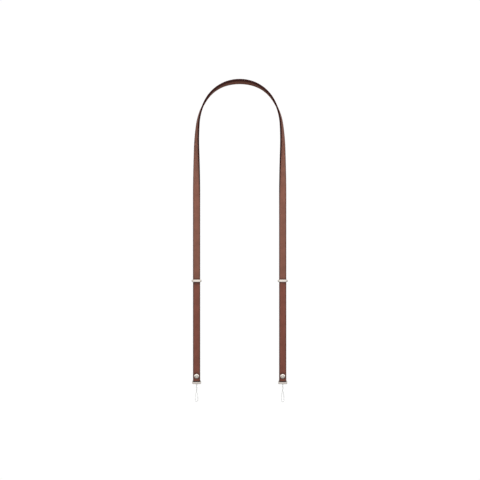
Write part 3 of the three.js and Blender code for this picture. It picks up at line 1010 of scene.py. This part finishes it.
# painted shade: the hollows between the yarns are greyer
yarn = add_node(
    tree,
    "ShaderNodeMix",
    {"data_type": "RGBA"},
    {"Factor": on_yarn, 6: linear("#bfbeba"), 7: linear("#fefefc")},
).outputs[2]
fuzz = add_node(
    tree, "ShaderNodeBump", inputs={"Height": fibre, "Strength": 0.25, "Distance": FUZZ}
).outputs[0]
thread = add_node(
    tree,
    "ShaderNodeBsdfPrincipled",
    inputs={"Base Color": yarn, "Roughness": 0.8, "IOR": 1.5, "Sheen Weight": 0.2, "Normal": fuzz},
)
add_node(tree, "ShaderNodeOutputMaterial", inputs={"Surface": thread.outputs[0]})

# one strand as (drop, distance from the middle line, turn round it); the other is the same half a turn on
strand = [(-CORD_IN_SOCKET, STRAND_OFFSET, 0)]
for k in range(TWIST_POINTS + 1):
    strand.append((TWIST_LENGTH * k / TWIST_POINTS, STRAND_OFFSET, 2 * math.pi * k / TWIST_POINTS))
strand += [(drop, half, 2 * math.pi) for drop, half in OPEN_LOOP]
route = [Vector((-h * math.cos(t), -h * math.sin(t), -d)) * MM for d, h, t in strand]
route.append(Vector((0, 0, -LOOP_END * MM)))
route += [Vector((h * math.cos(t), h * math.sin(t), -d)) * MM for d, h, t in reversed(strand)]


def smooth_through(stops, count):
    """Points along a smooth curve through the stops, count to each span (centripetal)."""
    padded = [2 * stops[0] - stops[1], *stops, 2 * stops[-1] - stops[-2]]
    curve = []
    for i in range(1, len(padded) - 2):
        a, b, c, d = padded[i - 1 : i + 3]
        t1 = math.sqrt((b - a).length)
        t2 = t1 + math.sqrt((c - b).length)
        t3 = t2 + math.sqrt((d - c).length)
        for k in range(count):
            t = t1 + (t2 - t1) * k / count
            ab = a + (b - a) * t / t1
            bc = b + (c - b) * (t - t1) / (t2 - t1)
            cd = c + (d - c) * (t - t2) / (t3 - t2)
            abc = ab + (bc - ab) * t / t2
            bcd = bc + (cd - bc) * (t - t1) / (t3 - t1)
            curve.append(abc + (bcd - abc) * (t - t1) / (t2 - t1))
    curve.append(stops[-1])
    return curve


def yarn_height(turn, along):
    """Height from 0 to 1 on a braid: yarns cross in diamonds, and each passes over and under in turn."""
    right_hand = BRAID_STRANDS / 2 * turn + along / BRAID_PITCH
    left_hand = BRAID_STRANDS / 2 * turn - along / BRAID_PITCH
    on_top, below = right_hand % 1, left_hand % 1
    if (math.floor(right_hand) + math.floor(left_hand)) % 2:
        on_top, below = below, on_top
    return math.sin(math.pi * on_top) * (YARN_DIP + (1 - YARN_DIP) * math.sin(math.pi * below))


def braided_tube(name, line):
    """A tube along a line of points whose surface rises and falls as crossing yarns do."""
    points = []
    weave_values = []
    side_on = Vector((0, 1, 0))
    along = 0
    for i, at in enumerate(line):
        if i:
            along += (at - line[i - 1]).length
        ahead = (line[min(i + 1, len(line) - 1)] - line[max(i - 1, 0)]).normalized()
        side_on = (side_on - ahead * side_on.dot(ahead)).normalized()
        other = ahead.cross(side_on)
        for s in range(CORD_SIDES):
            height = yarn_height(s / CORD_SIDES, along)
            radius = CORD_DIAMETER / 2 * (YARN_BED + YARN_RISE * height)
            turn = 2 * math.pi * s / CORD_SIDES
            points.append(at + (side_on * math.cos(turn) + other * math.sin(turn)) * radius)
            weave_values.append(height)
    faces = ring_faces(len(line), CORD_SIDES, False)
    faces += [tuple(range(CORD_SIDES)), tuple(range(len(points) - CORD_SIDES, len(points)))]
    mesh = bpy.data.meshes.new(name)
    mesh.from_pydata(points, [], faces)
    mesh.attributes.new("weave", "FLOAT", "POINT").data.foreach_set("value", weave_values)
    shape = bmesh.new()
    shape.from_mesh(mesh)
    bmesh.ops.recalc_face_normals(shape, faces=shape.faces)
    shape.to_mesh(mesh)
    shape.free()
    mesh.shade_smooth()
    mesh.materials.append(cord_white)
    return mesh


for side in ("left", "right"):
    under_bar = HINGES[f"{side}_end_swing"] - Vector((0, 0, BAR_TOP + BAR_HEIGHT))
    line = [p + under_bar for p in smooth_through(route, SPAN_POINTS)]
    cord = bpy.data.objects.new(f"{side}_cord", braided_tube(f"{side}_cord", line))
    bpy.context.scene.collection.objects.link(cord)
    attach(cord, f"{side}_end")
    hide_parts(f"{side}_cord_loop")

# Studio.
# A white floor under the hanging strap and a white surround, both of lit paper. Softboxes stand above and
# at both sides, and a broad panel at the front and at the back. Two lamps light only the leather and cords,
# and cards below and at the sides show only in the metal.
FLOOR_Z = -0.72
FLOOR_HALF = 2
SURROUND_RADIUS = 12
PAPER_GLOW = 1.02
AMBIENT = (0.22, 0.5)  # from straight below to straight above
AIMED_AT = Vector((0, 0, -0.25))
SENSOR = 36  # mm
VIEW_DISTANCE = 3.0
VIEW_WIDTH = 0.8136  # of the frame, at the strap
VIEW_X = 0.0006
VIEW_Z = -0.2675

glow = bpy.data.materials.new("lit_white_paper")
glow.use_nodes = True
tree = glow.node_tree
tree.nodes.clear()
shine = add_node(tree, "ShaderNodeEmission", inputs={"Color": (1, 1, 1, 1), "Strength": PAPER_GLOW})
add_node(tree, "ShaderNodeOutputMaterial", inputs={"Surface": shine.outputs[0]})
floor_mesh = bpy.data.meshes.new("floor")
floor_corners = [(x * FLOOR_HALF, y * FLOOR_HALF, FLOOR_Z) for x, y in ((-1, -1), (1, -1), (1, 1), (-1, 1))]
floor_mesh.from_pydata(floor_corners, [], [(0, 1, 2, 3)])
shell = bmesh.new()
bmesh.ops.create_uvsphere(shell, u_segments=32, v_segments=16, radius=SURROUND_RADIUS)
surround_mesh = bpy.data.meshes.new("surround")
shell.to_mesh(surround_mesh)
shell.free()
for mesh in (floor_mesh, surround_mesh):
    mesh.materials.append(glow)
    backdrop = bpy.data.objects.new(mesh.name, mesh)
    backdrop.visible_diffuse = False
    backdrop.visible_glossy = False
    backdrop.visible_transmission = False
    backdrop.visible_shadow = False
    bpy.context.scene.collection.objects.link(backdrop)
    backdrop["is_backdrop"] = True

world = bpy.data.worlds.new("studio")
bpy.context.scene.world = world
world.use_nodes = True
tree = world.node_tree
tree.nodes.clear()
sky = add_node(
    tree, "ShaderNodeSeparateXYZ", inputs={0: add_node(tree, "ShaderNodeTexCoord").outputs["Generated"]}
)
lift = add_node(
    tree,
    "ShaderNodeMapRange",
    inputs={
        "Value": sky.outputs["Z"],
        "From Min": -1,
        "From Max": 1,
        "To Min": AMBIENT[0],
        "To Max": AMBIENT[1],
    },
)
ambient = add_node(
    tree, "ShaderNodeBackground", inputs={"Color": (1, 1, 1, 1), "Strength": lift.outputs[0]}
)
add_node(tree, "ShaderNodeOutputWorld", inputs={"Surface": ambient.outputs[0]})

# name, width and height in m, power in W, whether it lights the leather, whether it shows in metal, place
LIGHTS = [
    ("top_softbox", 2.0, 1.2, 7.4, True, True, Vector((0, -0.8, 1.0))),
    ("left_softbox", 1.4, 1.6, 6.0, True, True, Vector((-1.55, -0.85, 0.35))),
    ("right_softbox", 1.4, 1.6, 6.0, True, True, Vector((1.55, -0.85, 0.35))),
    ("front_panel", 2.4, 2.4, 13.5, True, True, Vector((0, -3.6, 0))),
    ("front_lamp", 0.4, 0.3, 5.0, True, False, Vector((0.04, -0.55, 0.45))),
    ("back_panel", 2.4, 2.4, 12, True, True, Vector((0, 3.0, 0))),
    ("back_lamp", 1.0, 0.8, 18, True, False, Vector((0, 1.6, 0.6))),
    ("low_card", 4.5, 2.0, 9.5, False, True, Vector((0, -1.8, -2.0))),
    ("left_card", 1.6, 1.8, 2, False, True, Vector((-1.7, -0.7, -0.4))),
    ("right_card", 1.6, 1.8, 2, False, True, Vector((1.7, -0.7, -0.4))),
]
for name, width, height, power, on_leather, in_metal, at in LIGHTS:
    light = bpy.data.lights.new(name, "AREA")
    light.shape = "RECTANGLE"
    light.size = width
    light.size_y = height
    light.energy = power
    lamp = bpy.data.objects.new(name, light)
    lamp.location = at
    lamp.rotation_euler = (AIMED_AT - at).to_track_quat("-Z", "Y").to_euler()
    lamp.visible_diffuse = on_leather
    lamp.visible_glossy = in_metal
    bpy.context.scene.collection.objects.link(lamp)

camera = bpy.data.cameras.new("camera")
camera.sensor_width = SENSOR
camera.lens = SENSOR * VIEW_DISTANCE / VIEW_WIDTH
viewer = bpy.data.objects.new("camera", camera)
viewer.location = (VIEW_X, -VIEW_DISTANCE, VIEW_Z)
viewer.rotation_euler = (math.pi / 2, 0, 0)
bpy.context.scene.collection.objects.link(viewer)
bpy.context.scene.camera = viewer
bpy.context.scene.view_settings.view_transform = "Standard"

low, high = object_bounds()
